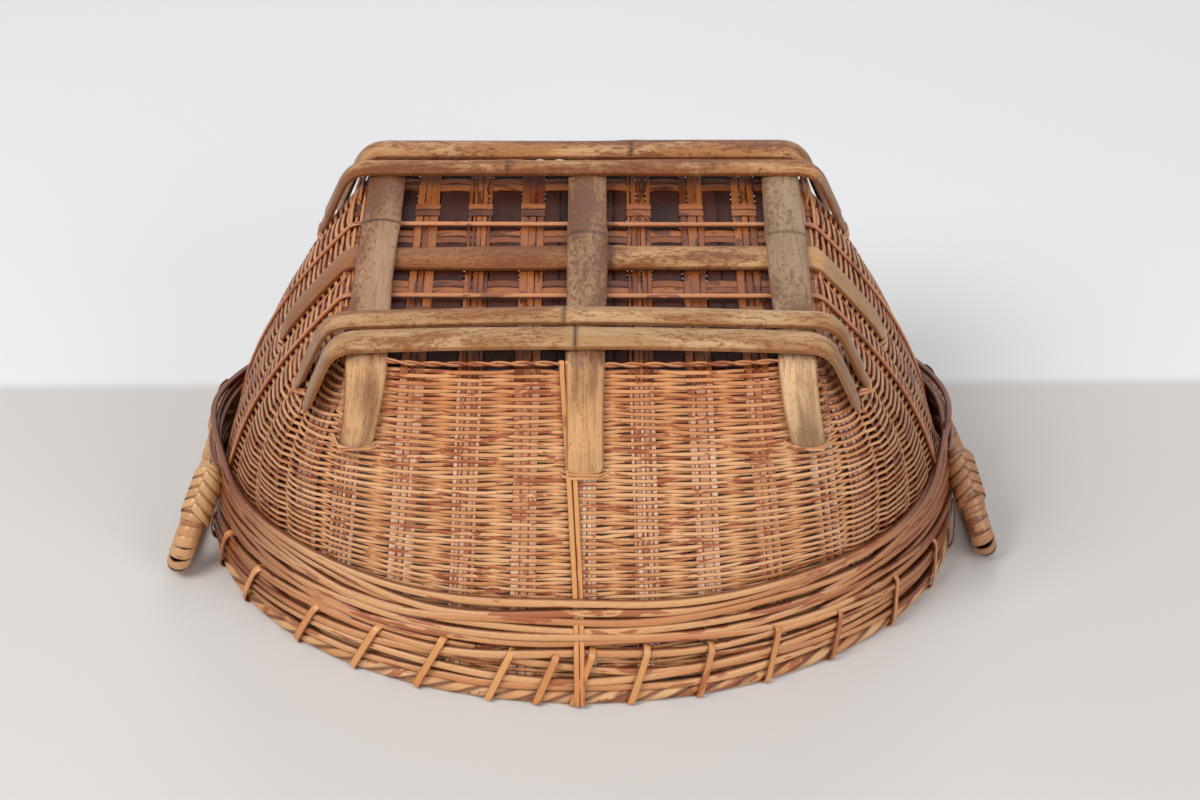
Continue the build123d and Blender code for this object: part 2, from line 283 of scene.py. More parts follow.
class Bundle:
    """Strands gathered into one mesh.

    Each point keeps its length along its strand, its place across and outwards on the
    section, and its strand's tone, for the materials. A map lays the strands side by side.
    """

    def __init__(self, name):
        self.name = name
        self.points, self.quads, self.caps = [], [], []
        self.lays, self.tones, self.places = [], [], []
        self.count, self.total, self.girth, self.longest = 0, 0.0, 1.0, 1.0

    def add(self, path, out, across, section, thick, wide, tone=0.5, start=0.0, pinch=True):
        """One strand: thick and wide are its half sizes, one value or one per point.

        Where across is None it is square to the line and to out. pinch closes the ends.
        """
        if across is None:
            across = unit(np.cross(directions(path), out))
        path, section = np.asarray(path, float), np.asarray(section, float)
        out, across = (np.broadcast_to(each, path.shape) for each in (out, across))
        thick, wide = (np.broadcast_to(np.asarray(each, float), len(path))
                       for each in (thick, wide))
        if pinch:
            path, out, across, thick, wide = pinched(path, out, across, thick, wide)
        rings = (path[:, None] + out[:, None] * (section[:, 0] * thick[:, None])[..., None]
                 + across[:, None] * (section[:, 1] * wide[:, None])[..., None])
        stations, size = rings.shape[:2]
        area = np.sum(section[:, 0] * np.roll(section[:, 1], -1)
                      - section[:, 1] * np.roll(section[:, 0], -1))
        winding = np.cross(out[0], across[0]) @ (path[1] - path[0])
        step = -1 if winding * area < 0 else 1
        index = self.count + np.arange(stations * size).reshape(stations, size)
        near, far = index[:-1], index[1:]
        quads = np.stack([near, np.roll(near, -1, axis=1), np.roll(far, -1, axis=1), far], axis=-1)
        lengths = lengths_along(path)
        self.quads.append(quads[..., ::step].reshape(-1, 4))
        self.caps += [index[0][::step], index[-1][::-step]]
        self.points.append(rings.reshape(-1, 3))
        self.lays.append(lined((lengths[:, None] + start) * MM, section[:, 1],
                               section[:, 0]).reshape(-1, 3))
        self.tones.append(np.full(stations * size, tone))
        self.lay_strand(lengths, rings[stations // 2], step)
        self.count += stations * size

    def add_round(self, angle, level, offset, *measures, **lay):
        """One strand that runs round the wall."""
        middle, _, out, up = wall_frame(angle, level, offset)
        self.add(middle, out, up, *measures, **lay)

    def lay_strand(self, lengths, ring, step):
        """Each face corner's length along all the strands, and its share round its own."""
        edge = np.linalg.norm(np.roll(ring, -1, axis=0) - ring, axis=1)
        around = np.concatenate([[0], np.cumsum(edge)]) / edge.sum()
        near, far = self.total + lengths[:-1], self.total + lengths[1:]
        corners = ((near, around[:-1]), (near, around[1:]), (far, around[1:]), (far, around[:-1]))
        grids = [np.stack(np.meshgrid(*corner, indexing="ij"), axis=-1)
                 for corner in corners[::step]]
        self.places.append(np.stack(grids, axis=2).reshape(-1, 4, 2))
        self.longest = max(self.longest, np.diff(lengths).max())
        self.girth = max(self.girth, edge.sum())
        self.total += lengths[-1]

    def made(self, material, slot, replaced=(), crease=None):
        """The mesh object, riding on the part and standing for the nodes it replaces."""
        mesh = bpy.data.meshes.new(self.name)
        faces = np.vstack(self.quads).tolist() + [cap.tolist() for cap in self.caps]
        mesh.from_pydata((np.vstack(self.points) * MM).tolist(), [], faces)
        mesh.shade_smooth()
        kept(mesh, "lay", np.vstack(self.lays))
        kept(mesh, "tone", np.concatenate(self.tones))
        self.lay_map(mesh)
        if crease:
            mesh.set_sharp_from_angle(angle=radians(crease))
        mesh.materials.append(material)
        thing = linked(self.name, mesh)
        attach(thing, "root")
        if replaced:
            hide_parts(*replaced)
        return thing

    def lay_map(self, mesh):
        """A map with the strands cut into lanes of equal length, one above the other.

        The ends' small faces share one corner of it.
        """
        margin = 0.08
        lanes = max(1, round((self.total / self.girth) ** 0.5))
        lane_length = self.total / lanes
        lengths, around = np.moveaxis(np.concatenate(self.places), -1, 0)
        lane = np.minimum((lengths.min(axis=1) / lane_length).astype(int), lanes - 1)[:, None]
        across = (lengths - lane * lane_length) / (lane_length + self.longest)
        upwards = (lane + margin + around * (1 - 2 * margin)) / lanes
        laid = np.full((len(mesh.loops), 2), (0.9995, 0.0005), np.float32)
        laid[:lengths.size] = np.stack([across, upwards], axis=-1).reshape(-1, 2)
        mesh.uv_layers.new(name="OFBake").uv.foreach_set("vector", laid.ravel())


# ---- materials ----
def tint(red, green, blue):
    """A colour given as it shows on a screen, 0 to 255."""
    def linear(value):
        value /= 255
        return value / 12.92 if value <= 0.04045 else ((value + 0.055) / 1.055) ** 2.4
    return (linear(red), linear(green), linear(blue), 1.0)


class Finish:
    """A material's node tree, built by short calls. Colours are as on a screen."""

    def __init__(self, name):
        self.material = bpy.data.materials.new(name)
        self.material.use_nodes = True
        self.tree = self.material.node_tree

    def feed(self, socket, value):
        if isinstance(value, bpy.types.NodeSocket):
            self.tree.links.new(value, socket)
        else:
            socket.default_value = tint(*value) if isinstance(value, tuple) else value

    def node(self, kind, inputs, **settings):
        """A new node's outputs."""
        made = self.tree.nodes.new("ShaderNode" + kind)
        for key, value in settings.items():
            setattr(made, key, value)
        for key, value in inputs.items():
            self.feed(made.inputs[key], value)
        return made.outputs

    def attribute(self, name, output="Fac"):
        return self.node("Attribute", {}, attribute_name=name)[output]

    def parts(self, vector):
        return self.node("SeparateXYZ", {0: vector})

    def position(self):
        return self.parts(self.node("NewGeometry", {})["Position"])

    def math(self, operation, first, second=0.0):
        return self.node("Math", {0: first, 1: second}, operation=operation)[0]

    def times(self, first, second):
        return self.math("MULTIPLY", first, second)

    def plus(self, first, second):
        return self.math("ADD", first, second)

    def noise(self, x, y, z, detail, rough=0.5, scale=1.0):
        place = self.node("CombineXYZ", {0: x, 1: y, 2: z})[0]
        return self.node("TexNoise", {"Vector": place, "Scale": scale, "Detail": detail,
                                      "Roughness": rough})["Fac"]

    def fade(self, value, low, high):
        """A soft step from 0 at low to 1 at high, which may be below it."""
        made = self.tree.nodes.new("ShaderNodeValToRGB")
        self.feed(made.inputs[0], value)
        made.color_ramp.interpolation = "EASE"
        stops = sorted(((low, 0.0), (high, 1.0)))
        for element, (place, grey) in zip(made.color_ramp.elements, stops):
            element.position = place
            element.color = (grey, grey, grey, 1.0)
        return made.outputs["Color"]

    def over(self, under, colour, share, strength=1.0, blend_type="MIX"):
        """A colour laid over what is under it, where share is high."""
        return self.node("Mix", {0: self.times(share, strength), 6: under, 7: colour},
                         data_type="RGBA", blend_type=blend_type)[2]

    def finish(self, colour, roughness, height=None, bump=0.0, sheen=0.5):
        """Sets the shader; bump is in millimetres."""
        shader = self.tree.nodes["Principled BSDF"].inputs
        self.feed(shader["Base Color"], colour)
        self.feed(shader["Roughness"], roughness)
        shader["Specular IOR Level"].default_value = sheen
        if height is not None:
            raised = self.node("Bump", {"Strength": 1.0, "Distance": bump * MM, "Height": height})
            self.feed(shader["Normal"], raised["Normal"])
        return self.material


def cane_finish(name, body, light, brown, edge, patch, edge_start, patch_share, roughness,
                sheen, streak, bump, end_wall_shade=None, high=None):
    """Split cane or rattan: long fibres, bark patches, and edges darkened by age and painted
    shade.

    patch is the patches' length in millimetres. The two tints after bump are painted shade:
    the first darkens the two end walls, the second the strands near the base, under the bars.
    """
    f = Finish(name)
    length, across, outwards = f.parts(f.attribute("lay", "Vector"))
    lane = f.times(f.attribute("tone"), 97.0)
    patches = f.noise(f.times(length, 1000 / patch), f.plus(lane, f.times(across, 0.22)), 0.0,
                      3.5, 0.62)
    shades = f.noise(f.times(length, 330 / patch), lane, 7.3, 1.0)
    fibres = f.noise(f.times(length, 60.0), f.times(across, 3.0), lane, 3.0, 0.65, 2.2)
    specks = f.noise(f.times(length, 420.0), f.times(across, 1.3), lane, 2.0, 0.6)
    bark = 0.5 + 0.12 * (1 - patch_share)
    colour = f.over(body, light, f.fade(shades, 0.34, 0.66))
    colour = f.over(colour, brown, f.fade(patches, bark, bark + 0.025), 0.85)
    colour = f.over(colour, brown, f.fade(fibres, 0.52, 0.30), streak)
    colour = f.over(colour, edge, f.fade(specks, 0.70, 0.76), 0.6)
    x, _, z = f.position()
    # Painted shade: the two end walls are darkened.
    if end_wall_shade:
        ends = f.fade(f.math("ABSOLUTE", x), 0.165, 0.25)
        colour = f.over(colour, end_wall_shade, ends, 0.8, "MULTIPLY")
    # Painted shade: the strands near the base, under the bars, are darkened.
    if high:
        colour = f.over(colour, high, f.fade(f.times(z, 4.0), 0.60, 0.84), 0.5, "MULTIPLY")
    # Edges and back of each strand: partly the cane's aged colour, partly painted shade in the
    # crevices between strands.
    rim = f.fade(f.math("ABSOLUTE", across), edge_start, 1.0)
    back = f.fade(f.times(outwards, -1.0), 0.2, 0.9)
    colour = f.over(colour, edge, f.math("MAXIMUM", rim, back), 0.8)
    gloss = f.plus(f.times(fibres, 0.25), roughness - 0.12)
    return f.finish(colour, gloss, fibres, bump, sheen)


def bamboo_finish(name, pale, straw, stain, dark, stain_share, bend_light_and_shade, rusty_left=None):
    """A worn bamboo bar: pale skin, brown flaking stain along the fibres, dark marks.

    Turned-down ends get painted light and shade by how they face; rusty_left tints the left half.
    """
    f = Finish(name)
    length, across, _ = f.parts(f.attribute("lay", "Vector"))
    tone = f.times(f.attribute("tone"), 61.0)

    def spots(along, aside, shift, detail, rough):
        return f.noise(f.times(length, along), f.times(across, aside), f.plus(tone, shift),
                       detail, rough)
    slow = spots(16.0, 0.7, 0.0, 3.0, 0.6)
    regions = spots(9.0, 0.5, 3.1, 2.0, 0.5)
    flakes = spots(170.0, 4.6, 1.7, 7.0, 0.75)
    fibres = spots(28.0, 17.0, 9.2, 3.0, 0.6)
    blots = spots(60.0, 1.6, 5.0, 5.0, 0.7)
    scratches = spots(90.0, 22.0, 7.7, 2.0, 0.5)
    # Turned-down ends: their tone and their thinner stain are painted light and shade, by how they
    # face.
    ends = f.fade(f.attribute("bend"), 0.1, 0.6)
    wash = 0.56 - 0.2 * stain_share
    flaked = 0.56 - 0.13 * stain_share
    colour = f.over(pale, straw, f.fade(slow, 0.38, 0.60))
    colour = f.over(colour, bend_light_and_shade, ends, 0.85)
    colour = f.over(colour, stain, f.fade(regions, wash, wash + 0.16), 0.7)
    if rusty_left:
        left = f.fade(f.plus(f.position()[0], 0.5), 0.525, 0.515)
        colour = f.over(colour, rusty_left, left, 0.7)
    stained = f.plus(f.times(flakes, 0.62), f.times(regions, 0.38))
    # Less flaking stain on the turned-down ends lightens them: painted light.
    flake_strength = f.plus(f.times(ends, -0.55), 0.8)
    colour = f.over(colour, stain, f.fade(stained, flaked, flaked + 0.05), flake_strength)
    colour = f.over(colour, stain, f.fade(fibres, 0.5, 0.34), 0.4)
    colour = f.over(colour, stain, f.fade(blots, 0.60, 0.68), 0.5)
    colour = f.over(colour, dark, f.fade(scratches, 0.68, 0.73), 0.6)
    colour = f.over(colour, dark, f.attribute("joint"))
    colour = f.over(colour, stain, f.fade(f.math("ABSOLUTE", across), 0.84, 1.0), 0.7)
    height = f.plus(f.times(flakes, 0.5), f.times(fibres, 0.5))
    return f.finish(colour, f.plus(f.times(flakes, 0.3), 0.28), height, 0.4, 0.22)


# Painted shade for the two end walls.
END_WALL_SHADE = (178, 155, 135)
# Painted shade for the bars' turned-down ends on the end walls.
BEND_SHADE = (150, 124, 100)
# Each row has what cane_finish takes, in its order.
WEFT, STAKES, RIM, ROPE, LASHING, SPLINT, MAT_LIGHT, MAT_DARK, WRAP, WRAP_DARK, CORE = (
    cane_finish(*row) for row in (
        # For weft and stakes the last tint is painted shade near the base, under the bars.
        ("weft_reed", (208, 142, 88), (234, 178, 126), (160, 76, 38), (98, 42, 22),
         26, 0.56, 0.5, 0.42, 0.5, 0.4, 0.05, END_WALL_SHADE, (232, 192, 150)),
        ("stake_splint", (206, 144, 102), (236, 198, 168), (164, 82, 44), (104, 48, 28),
         40, 0.82, 0.6, 0.36, 0.6, 0.5, 0.08, END_WALL_SHADE, (196, 134, 92)),
        ("rim_cane_skin", (200, 132, 80), (220, 164, 110), (158, 78, 36), (88, 38, 20),
         60, 0.56, 0.55, 0.38, 0.6, 0.4, 0.12, (160, 114, 78)),
        ("edge_twist", (206, 144, 90), (226, 178, 126), (160, 84, 44), (96, 44, 24),
         34, 0.5, 0.4, 0.5, 0.5, 0.5, 0.3),
        ("lashing_skin", (206, 132, 72), (222, 158, 96), (180, 96, 46), (122, 58, 28),
         60, 0.7, 0.3, 0.32, 0.6, 0.25, 0.08),
        ("splint_skin", (186, 108, 56), (206, 132, 78), (130, 62, 28), (82, 36, 18),
         36, 0.75, 0.35, 0.3, 0.6, 0.35, 0.1),
        # mat_splint and mat_dark_splint: the strips' own light and dark colours, made darker as
        # painted shade over the floor, which lies recessed under the bars.
        ("mat_splint", (114, 50, 16), (172, 98, 46), (72, 30, 12), (54, 24, 12),
         40, 0.84, 0.5, 0.4, 0.3, 0.7, 0.15),
        ("mat_dark_splint", (52, 20, 12), (68, 28, 16), (34, 14, 9), (30, 14, 12),
         80, 0.92, 0.5, 0.5, 0.15, 0.6, 0.12),
        ("wrap_skin", (192, 138, 86), (210, 160, 108), (160, 96, 52), (78, 40, 24),
         50, 0.74, 0.25, 0.34, 0.6, 0.25, 0.06),
        ("wrap_dark_skin", (160, 104, 64), (178, 124, 82), (112, 62, 36), (56, 28, 18),
         50, 0.74, 0.4, 0.34, 0.6, 0.3, 0.06),
        ("core_cane", (96, 54, 30), (112, 66, 38), (70, 36, 20), (48, 24, 14),
         50, 0.62, 0.4, 0.6, 0.5, 0.35, 0.12)))
# Each row has what bamboo_finish takes, in its order.
# After the stain share: the turned-down ends' painted tone, shade on the end walls, light on the
# front and back.
BAMBOO = {name: bamboo_finish("bamboo_" + name, *row) for name, *row in (
    ("straw", (204, 166, 122), (180, 138, 94), (136, 80, 40), (64, 38, 24), 0.5, BEND_SHADE),
    ("rusty", (206, 158, 110), (174, 118, 70), (118, 62, 30), (56, 30, 18), 0.7, BEND_SHADE),
    ("mixed", (212, 166, 116), (196, 148, 98), (120, 66, 32), (58, 32, 20), 0.5, BEND_SHADE,
     (132, 70, 32)),
    ("rosy", (178, 138, 106), (158, 116, 84), (112, 66, 42), (50, 34, 28), 0.55,
     (222, 172, 122)),
    ("grey", (172, 134, 100), (156, 116, 82), (108, 66, 42), (52, 34, 28), 0.5,
     (226, 172, 118)),
    ("pale", (170, 142, 112), (160, 130, 100), (116, 80, 54), (60, 42, 32), 0.4,
     (236, 192, 144)))}


# ---- woven wall ----
def stake_angles(level):
    """Directions of the stakes at a level, anticlockwise from the right-hand end."""
    share = level / WALL_TOP
    pitch = STAKE_PITCH_MOUTH + (STAKE_PITCH_TOP - STAKE_PITCH_MOUTH) * share
    end_pitch = END_PITCH_MOUTH + (END_PITCH_TOP - END_PITCH_MOUTH) * share
    end = np.arange(-END_STAKES, END_STAKES + 1) * end_pitch
    side = np.arange(-FRONT_STAKES, FRONT_STAKES + 1) * pitch + STAKE_SHIFT
    reach_x = reach_across(end, level, True)
    reach_y = reach_across(side, level, False)
    runs = (np.arctan2(end, reach_x), np.arctan2(reach_y, side)[::-1],
            np.arctan2(end[::-1], -reach_x) % (2 * pi), np.arctan2(-reach_y, side) % (2 * pi))
    starts = [run[0] for run in runs[1:]] + [runs[0][0] + 2 * pi]
    return np.concatenate([[*run, (run[-1] + start) / 2] for run, start in zip(runs, starts)])


STAKE_COUNT = len(stake_angles(0.0))


def looseness(angle):
    """0 along the front and back, rising to 1 round the two ends."""
    return soft(np.clip((np.abs(np.cos(angle)) - 0.68) / 0.2, 0, 1))


def weft_row(bundle, number):
    """One row of weft, in front of every other stake."""
    source = default_rng(1000 + number)
    level = WEFT_FOOT + number * WEFT_PITCH
    stakes = stake_angles(min(level, WALL_TOP))
    after = np.append(stakes[1:], stakes[0] + 2 * pi)
    share = np.linspace(0, 1, WEFT_STEPS, endpoint=False)
    angle = (stakes[:, None] + (after - stakes)[:, None] * share).ravel()
    parity = np.where((np.arange(STAKE_COUNT) + number) % 2, -1.0, 1.0)
    wave = (parity[:, None] * np.clip(1.5 * np.cos(pi * share), -1, 1)).ravel()
    angle = np.append(angle, angle[0] + 2 * pi)
    loose = looseness(angle)
    wave = np.append(wave, wave[0]) * (TIGHT_WAVE + (LOOSE_WAVE - TIGHT_WAVE) * loose)
    shared = waves(7, angle, (2, 3, 5, 9), 0.5) + waves(8, angle + level / 60, (7, 11, 16), 0.3)
    shared = shared * min(1.0, (WALL_TOP + 6 - level) / 40)
    own = waves(5000 + number, angle, (13, 22, 37, 51), 0.1 + 0.1 * loose)
    wear = waves(3000 + number, angle, (6, 17, 29, 43), 0.06)
    here, above = (wall_frame(angle, z, WALL_MIDDLE)[0] for z in (level, level + WEFT_PITCH))
    high = np.linalg.norm(above - here, axis=1) * (0.575 - 0.05 * loose) * (1 + wear)
    thick = (0.42 + 0.5 * loose) * (1 - 0.5 * wear)
    bundle.add_round(angle, level + shared + own, WALL_MIDDLE + wave, REED, thick, high,
                     **grain(source, 4000), pinch=False)


def woven_weft():
    for name, first, last in WEFT_PARTS:
        bundle = Bundle(name)
        for number in range(first, last):
            weft_row(bundle, number)
        bundle.made(WEFT, "weft", ("woven_wall",))


def shoulder_weft():
    """Rows over the two ends of the floor, from the cross bars to the turn of the wall."""
    bundle = Bundle("weft_shoulders")
    y = np.linspace(-SHOULDER_REACH, SHOULDER_REACH, 150)
    for side in (-1, 1):
        for number, x in enumerate(SHOULDER_ROWS):
            over = [(k + number) % 2 == 0 for k in range(len(BAND_PLACES))]
            wave = eased(y, sorted(BAND_PLACES), np.where(over, 1.3, -0.9))
            sway = wander(2000 + number, y + SHOULDER_REACH, 60.0, 0.5)
            curve = 3.0 * (np.abs(y) / SHOULDER_REACH) ** 6
            path = lined(side * (x + sway - curve), y, FLOOR_LEVEL + wave + 0.2 - 0.5 * number)
            bundle.add(path, (0, 0, 1.0), (1.0, 0, 0), REED, 0.7, 1.35,
                       tone=(0.37 * number + 0.2) % 1, start=300.0 * number)
    bundle.made(WEFT, "weft", ("woven_wall",))


def bar_end_cover(bundle, place, width, end, along_x, side, seed):
    """Short stretches of weft that pass over the end of a turned-down bar and hold it."""
    source = default_rng(seed)
    spread = width / 2 + 5.0
    nearest = max(abs(place) - width / 2, 0.0)
    limit = 0.87 * blend(1 if along_x else 0, end)
    for number, cover in enumerate((1.4, 2.2)):
        share = np.linspace(-1, 1, 41)
        share = share[np.abs(place + share * spread) < limit]
        across = place + share * spread
        level = end - 3.0 + number * 2.5 + share * source.uniform(-0.6, 0.6)
        low = reach_across(across, level, along_x, -0.6 - 2.4 * share ** 4)
        high = reach_across(nearest, level, along_x, cover)
        hump = soft(np.clip((width / 2 + 2.0 - np.abs(share) * spread) / 6.0, 0, 1))
        reach = side * np.maximum(low, low + (high - low) * hump)
        x, y = (reach, across) if along_x else (across, reach)
        out, up = wall_frame(np.arctan2(y, x), level, 0.0)[2:]
        bundle.add(lined(x, y, level), out, up, REED, 0.5, 1.3, **grain(source, 900))


# ---- stakes and floor mat ----
def splits(source, width, low, high):
    """Random places and widths of the splints that lie side by side in one stake."""
    shares = source.uniform(0.7, 1.3, source.integers(low, high + 1))
    widths = width * shares / shares.sum()
    return list(zip(np.cumsum(widths) - widths / 2 - width / 2, widths))


def floor_ripple(place, knots, over):
    """Height of a strip above the mat's middle: up over a band and down under the next."""
    return eased(place, knots, np.where(over, RIPPLE, -RIPPLE))


def wall_stake(bundle, number):
    """A stake of the corners: up the wall, ending under the floor's edge."""
    source = default_rng(200 + number)
    levels = np.linspace(STAKE_FOOT, WALL_TOP - 3, 34)
    angle = np.array([stake_angles(level)[number] for level in levels])
    nearly = 0.01
    middle, beside = (wall_frame(angle + turn, levels, WALL_MIDDLE)[0] for turn in (0, nearly))
    reach = np.linalg.norm(beside - middle, axis=1) / nearly
    for place, width in splits(source, STAKE_WIDTH, 3, 4):
        line, along, out, _ = wall_frame(angle + place / reach, levels, WALL_MIDDLE)
        bundle.add(line, out, along, STRIP, STAKE_THICKNESS / 2, width / 2 - 0.15,
                   **grain(source, 900))


def curved_in(path, shift, along_x):
    """How a split beside a stake's middle line draws in to follow the rounded wall."""
    side, reach = (path[:, 1], path[:, 0]) if along_x else (path[:, 0], path[:, 1])
    level = np.minimum(path[:, 2], WALL_TOP)
    fall = (reach_across(side + shift, level, along_x, WALL_MIDDLE)
            - reach_across(side, level, along_x, WALL_MIDDLE))
    fade = np.clip((WALL_TOP + 4 - path[:, 2]) / 12.0, 0, 1)
    return 1 + fade * fall / np.maximum(np.abs(reach), 50.0)


def through_stake(bundle, mat, place, foot_place, along_x, over):
    """A stake up one wall, across the floor and down the other."""
    source = default_rng(int(400 + place * 7) % 977 + (500 if along_x else 0))
    levels = np.linspace(STAKE_FOOT, WALL_TOP - STAKE_TURN * 0.4, 30)
    side = foot_place + (place - foot_place) * levels / WALL_TOP
    edge = reach_across(place, WALL_TOP, along_x, WALL_MIDDLE)
    profile = np.vstack([lined(reach_across(side, levels, along_x, WALL_MIDDLE), side, levels),
                         [[edge, place, FLOOR_LEVEL]]])
    path = rounded(np.vstack([profile, profile[::-1] * (-1, 1, 1)]), STAKE_TURN, 3.0)
    knots = sorted(over)
    ripple = floor_ripple(path[:, 0], knots, [over[k] for k in knots])
    path[:, 2] += np.where(np.abs(path[:, 0]) < edge - STAKE_TURN, ripple, 0.0)
    run = directions(path)
    across = unit(np.cross(run, np.cross((0, 1.0, 0), run)))
    out = unit(np.cross(run, across))
    out *= np.sign(out[:, 0] * path[:, 0] + out[:, 2] * 60)[:, None]
    if not along_x:
        path, across, out = swapped(path, across, out)
    wall = path[:, 2] < WALL_TOP - 8
    first = int(np.argmin(wall))
    last = len(wall) - int(np.argmin(wall[::-1]))
    pieces = ((bundle, 0, first + 1), (mat, first, last), (bundle, last - 1, len(wall)))
    strips = (BAND_WIDTH, 2, 2) if along_x else (STAKE_WIDTH - 0.6, 2, 5)
    for shift, size in splits(source, *strips):
        lay = grain(source, 900)
        twist = wander(int(source.integers(1e6)), lengths_along(path), 60.0, 0.25)
        line = path + across * (shift + twist)[:, None]
        line[:, 0 if along_x else 1] *= curved_in(path, shift + twist, along_x)
        half = size / 2 - source.uniform(0.1, 0.3)
        for target, low, high in pieces:
            target.add(line[low:high], out[low:high], across[low:high], STRIP,
                       STAKE_THICKNESS / 2, half, lay["tone"], lay["start"] + 3.0 * low)


def stakes_and_mat():
    stakes = Bundle("wall_stakes_split")
    mat = Bundle("floor_mat_cross")
    bands = Bundle("floor_mat_long")
    numbers = range(-FRONT_STAKES, FRONT_STAKES + 1)
    places = [i * STAKE_PITCH_TOP + STAKE_SHIFT for i in numbers]
    band_over = {y: k % 2 == 0 for k, y in enumerate(BAND_PLACES)}
    for i, place in zip(numbers, places):
        through_stake(stakes, mat, place, i * STAKE_PITCH_MOUTH + STAKE_SHIFT, False, band_over)
    crossings = sorted(places + [x + STAKE_PITCH_TOP / 2 for x in places]
                       + [places[0] - STAKE_PITCH_TOP / 2])
    for j, y in zip(range(END_STAKES, -END_STAKES - 1, -1), BAND_PLACES):
        over = {x: (x in places) != band_over[y] for x in crossings}
        through_stake(stakes, bands, y, j * END_PITCH_MOUTH, True, over)
    for corner in np.cumsum((2 * END_STAKES + 2, 2 * FRONT_STAKES + 2) * 2) - 1:
        wall_stake(stakes, int(corner))
    stakes.made(STAKES, "stakes", ("wall_stakes",), 40)
    mat.made(MAT_LIGHT, "stakes", ("floor_stakes",), 40)
    bands.made(MAT_LIGHT, "floor_strip", ("floor_long_strips",), 40)
    dark_strips(places, band_over)


def dark_strips(places, band_over):
    """The wide dark strips between the stakes, on the floor only."""
    bundle = Bundle("floor_mat_dark")
    knots = sorted(band_over)
    over = [not band_over[k] for k in knots]
    for number, place in enumerate(x + STAKE_PITCH_TOP / 2 for x in places[:-1]):
        source = default_rng(700 + number)
        half = reach_across(abs(place) + DARK_WIDTH / 2 - 3, WALL_TOP, False, -5.0)
        y = np.linspace(-half, half, 90)
        path = lined(place, y, FLOOR_LEVEL + floor_ripple(y, knots, over))
        for shift, width in splits(source, DARK_WIDTH, 1, 2):
            sway = wander(900 + number, lengths_along(path), 70.0, 0.3)
            bundle.add(path + lined(shift + sway, 0, 0), (0, 0, 1.0), (1.0, 0, 0), STRIP, 0.55,
                       width / 2 - 0.2, **grain(source, 900))
    bundle.made(MAT_DARK, "dark_strip", ("floor_dark_strips",), 40)


# ---- rim ----
def end_bulge(angle, level):
    """How far the upper canes stand off the wall round the handles, 0 to 1."""
    y = wall_frame(angle, level, 0.0)[0][:, 1]
    share = np.where(np.cos(angle) > 0, 0.72, 1.0)
    return share * np.exp(-((y - 24.0) / 48.0) ** 2) * np.abs(np.cos(angle)) ** 2


def rim_canes():
    """The canes laid over the foot of the wall.

    They run close together along the front, cross here and there, and fan out at the two
    ends, where the upper ones stand off the wall round the handles.
    """
    angle = np.linspace(0, 2 * pi, 481)
    end = np.abs(np.cos(angle))
    for number, level in enumerate(RIM_LEVELS):
        source = default_rng(60 + number)
        fan = np.clip((number - 3) / 6, 0, 1)
        rise = waves(80 + number, angle, (1, 2, 3, 5, 7), 2.3) * (1 + 2.0 * fan * end ** 2)
        sink = waves(90 + number, angle, (3, 4, 6, 9), 1.0) * (1 + end ** 4)
        depth = 1.0 if number % 2 else 0.55
        bulge = (1.0 + source.uniform(10.5, 14.5) * fan * depth) * end_bulge(angle, level)
        high = 3.05 - 1.45 * end ** 4 + waves(110 + number, angle, (3, 8, 13), 0.25)
        thick = 2.1 + waves(120 + number, angle, (4, 9), 0.12)
        height = np.maximum(level * (1.0 + 0.26 * fan * end ** 3) + rise, 11.0 + number * 0.6)
        offset = 3.2 + 0.6 * (number % 2) + sink + bulge
        bundle = Bundle(f"rim_cane_{number + 1}")
        bundle.add_round(angle, height, offset, CANE, thick, high, **grain(source, 3000),
                         pinch=False)
        node = f"rim_weaver_{number + 1}"
        bundle.made(RIM, "rim_cane", (node,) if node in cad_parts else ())


def end_canes():
    """Shorter canes round the two ends, crossing between the wall and the outer canes."""
    bundle = Bundle("rim_end_canes")
    share = np.linspace(-1, 1, 110)
    for side in (0, 1):
        for number in range(END_CANES):
            seed = 400 + 20 * side + number
            source = default_rng(seed)
            turn = share * source.uniform(0.8, 1.25) + source.uniform(-0.12, 0.12)
            angle = (turn if side == 0 else pi - turn) % (2 * pi)
            level = (END_CANE_FOOT + END_CANE_RISE * (number + 0.5) / END_CANES
                     + source.uniform(-2, 2))
            upper = (level - END_CANE_FOOT) / END_CANE_RISE
            level = level + (source.uniform(-5, 14) * share * (1 - share ** 2)
                             - (4.0 + 34.0 * upper) * np.abs(share) ** 1.8)
            level = np.maximum(level + wander(seed + 20, (share + 1) * 90, 30.0, 1.6), 14)
            stand = source.uniform(0.45, 1.05) * (1 + 14.0 * upper) * end_bulge(angle, 60.0)
            offset = 4.4 - 4.0 * np.abs(share) ** 3 + stand
            bundle.add_round(angle, level, offset, CANE, 1.6, source.uniform(1.9, 2.5),
                             **grain(source, 3000))
    bundle.made(RIM, "rim_cane")


def edge_rope():
    """The rim's edge: flat canes twisted together."""
    angle = np.linspace(0, 2 * pi, 1001)
    middle, _, out, up = wall_frame(angle, ROPE_LEVEL, 0.5)
    bundle = Bundle("rim_edge_rope")
    for strand in range(ROPE_STRANDS):
        turn = (ROPE_TURNS * angle + 2 * pi * strand / ROPE_STRANDS)[:, None]
        lean = out * np.cos(turn) + up * np.sin(turn)
        side = -out * np.sin(turn) + up * np.cos(turn)
        path = middle + lean * 2.3
        path[:, 2] = np.maximum(path[:, 2], 2.2)
        bundle.add(path, lean, side, OVAL, 2.1, 3.6, tone=0.13 + 0.3 * strand,
                   start=700.0 * strand, pinch=False)
    bundle.made(ROPE, "rim_cane", ("rim_rope",))


